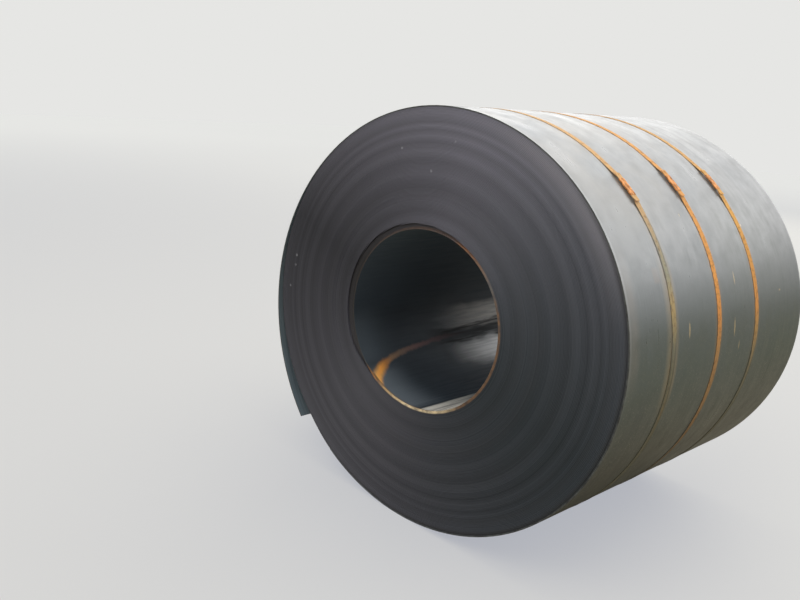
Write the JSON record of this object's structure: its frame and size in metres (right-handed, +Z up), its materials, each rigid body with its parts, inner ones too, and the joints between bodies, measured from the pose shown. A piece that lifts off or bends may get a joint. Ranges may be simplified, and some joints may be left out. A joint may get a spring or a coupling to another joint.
{
  "type": "steel coil",
  "caption": "Heavy coil of hot-rolled steel strip lying on its side, with an open eye, a sprung outer end and flat steel straps closed by crimped seals.",
  "frame": {"origin": "middle of the eye, on the coil's axis and halfway along the strip's width", "axes": "+Y along the eye's axis, away from the end face seen in the picture; +Z up; +X to the right as that end is seen"},
  "size_m": [1.8051, 1.524, 1.7805],
  "materials": {
    "mill_scale_steel": "blue-grey mill scale, satin",
    "rusty_strap": "orange surface rust, matt",
    "rusty_seal": "brown-orange rust, matt"
  },
  "bodies": {
    "root": {"coil_body": "mill_scale_steel", "strap_near": "rusty_strap", "strap_middle": "rusty_strap", "strap_far": "rusty_strap", "seal_near": "rusty_seal", "seal_middle": "rusty_seal", "seal_far": "rusty_seal"}
  },
  "joints": []
}
